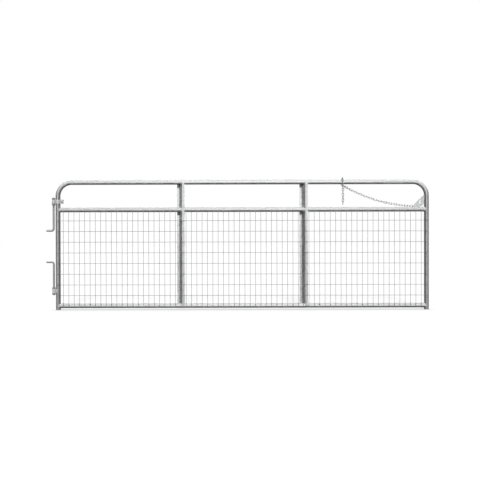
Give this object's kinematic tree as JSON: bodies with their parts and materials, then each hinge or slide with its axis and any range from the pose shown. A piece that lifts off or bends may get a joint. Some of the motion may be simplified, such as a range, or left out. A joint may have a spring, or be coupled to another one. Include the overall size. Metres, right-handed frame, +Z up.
{
  "type": "field gate",
  "caption": "Galvanised tube field gate with a welded mesh lower panel, sloping-web Z-braces, J-bolt hinges on the hinge stile and a latch chain draped over the top rail.",
  "frame": {"origin": "middle of the hinge stile's foot, on the floor", "axes": "+X along the gate from the hinge stile to the latch stile, +Y towards the back, away from the mesh, +Z up"},
  "size_m": [3.6509, 0.0882, 1.2596],
  "materials": {
    "galvanised_tube": "hot-dip zinc with a soft sheen",
    "galvanised_sheet": "rolled zinc sheet, soft sheen",
    "galvanised_wire": "zinc-coated wire",
    "weld_metal": "zinc-painted weld",
    "hinge_steel": "zinc-plated strap",
    "plated_fastener": "zinc-plated, dull",
    "plated_rod": "zinc-plated rod",
    "chain_steel": "zinc-plated chain"
  },
  "bodies": {
    "gate": {"frame_hoop": "galvanised_tube", "middle_rail": "galvanised_tube", "bottom_rail": "galvanised_tube", "left_brace": "galvanised_sheet", "right_brace": "galvanised_sheet", "mesh_stay_wires": "galvanised_wire", "mesh_line_wires": "galvanised_wire", "mesh_tack_welds": "weld_metal", "latch_gusset": "galvanised_sheet", "lower_hinge_strap": "hinge_steel", "chain_anchor_link": "chain_steel", "chain_rail_links": "chain_steel"},
    "upper_hinge": {"upper_hinge_strap": "hinge_steel", "clamp_bolt": "plated_fastener", "clamp_nut": "plated_fastener"},
    "upper_j_bolt": {"upper_j_bolt": "plated_rod", "upper_j_bolt_nuts": "plated_fastener"},
    "lower_j_bolt": {"lower_j_bolt": "plated_rod", "lower_j_bolt_nuts": "plated_fastener"},
    "chain_strand": {"chain_strand": "chain_steel"},
    "chain_tail_link_1": {"chain_tail_link_1": "chain_steel"},
    "chain_tail_link_2": {"chain_tail_link_2": "chain_steel"},
    "chain_tail_link_3": {"chain_tail_link_3": "chain_steel"},
    "chain_tail_link_4": {"chain_tail_link_4": "chain_steel"},
    "chain_tail_link_5": {"chain_tail_link_5": "chain_steel"},
    "chain_tail_link_6": {"chain_tail_link_6": "chain_steel"},
    "chain_tail_link_7": {"chain_tail_link_7": "chain_steel"},
    "chain_tail_link_8": {"chain_tail_link_8": "chain_steel"}
  },
  "joints": [
    {"name": "upper_hinge_slide", "type": "slide", "parent": "gate", "child": "upper_hinge", "axis": [0, 0, 1], "range_m": [-0.03, 0.03]},
    {"name": "upper_j_bolt_turn", "type": "hinge", "parent": "upper_hinge", "child": "upper_j_bolt", "pos_m": [-0.04215, 0, 1.033], "axis": [0, 0, 1], "range_deg": [-120, 120]},
    {"name": "lower_j_bolt_turn", "type": "hinge", "parent": "gate", "child": "lower_j_bolt", "pos_m": [-0.04215, 0, 0.18], "axis": [0, 0, 1], "range_deg": [-120, 120]},
    {"name": "chain_strand_swing", "type": "hinge", "parent": "gate", "child": "chain_strand", "pos_m": [2.71448, 0.03432, 1.20617], "axis": [0.9562, -0.028, -0.2914], "range_deg": [-3, 18]},
    {"name": "chain_tail_swing_1", "type": "hinge", "parent": "gate", "child": "chain_tail_link_1", "pos_m": [2.71555, -0.03302, 1.20013], "axis": [0, 1, 0], "range_deg": [-20, 20]},
    {"name": "chain_tail_swing_2", "type": "hinge", "parent": "chain_tail_link_1", "child": "chain_tail_link_2", "pos_m": [2.71555, -0.03302, 1.17512], "axis": [1, 0, 0], "range_deg": [-20, 20]},
    {"name": "chain_tail_swing_3", "type": "hinge", "parent": "chain_tail_link_2", "child": "chain_tail_link_3", "pos_m": [2.71555, -0.03302, 1.15013], "axis": [0, 1, 0], "range_deg": [-20, 20]},
    {"name": "chain_tail_swing_4", "type": "hinge", "parent": "chain_tail_link_3", "child": "chain_tail_link_4", "pos_m": [2.71555, -0.03302, 1.12512], "axis": [1, 0, 0], "range_deg": [-20, 20]},
    {"name": "chain_tail_swing_5", "type": "hinge", "parent": "chain_tail_link_4", "child": "chain_tail_link_5", "pos_m": [2.71555, -0.03302, 1.10013], "axis": [0, 1, 0], "range_deg": [-20, 20]},
    {"name": "chain_tail_swing_6", "type": "hinge", "parent": "chain_tail_link_5", "child": "chain_tail_link_6", "pos_m": [2.71555, -0.03302, 1.07513], "axis": [1, 0, 0], "range_deg": [-20, 20]},
    {"name": "chain_tail_swing_7", "type": "hinge", "parent": "chain_tail_link_6", "child": "chain_tail_link_7", "pos_m": [2.71555, -0.03302, 1.05012], "axis": [0, 1, 0], "range_deg": [-20, 20]},
    {"name": "chain_tail_swing_8", "type": "hinge", "parent": "chain_tail_link_7", "child": "chain_tail_link_8", "pos_m": [2.71555, -0.03302, 1.02513], "axis": [1, 0, 0], "range_deg": [-20, 20]}
  ]
}
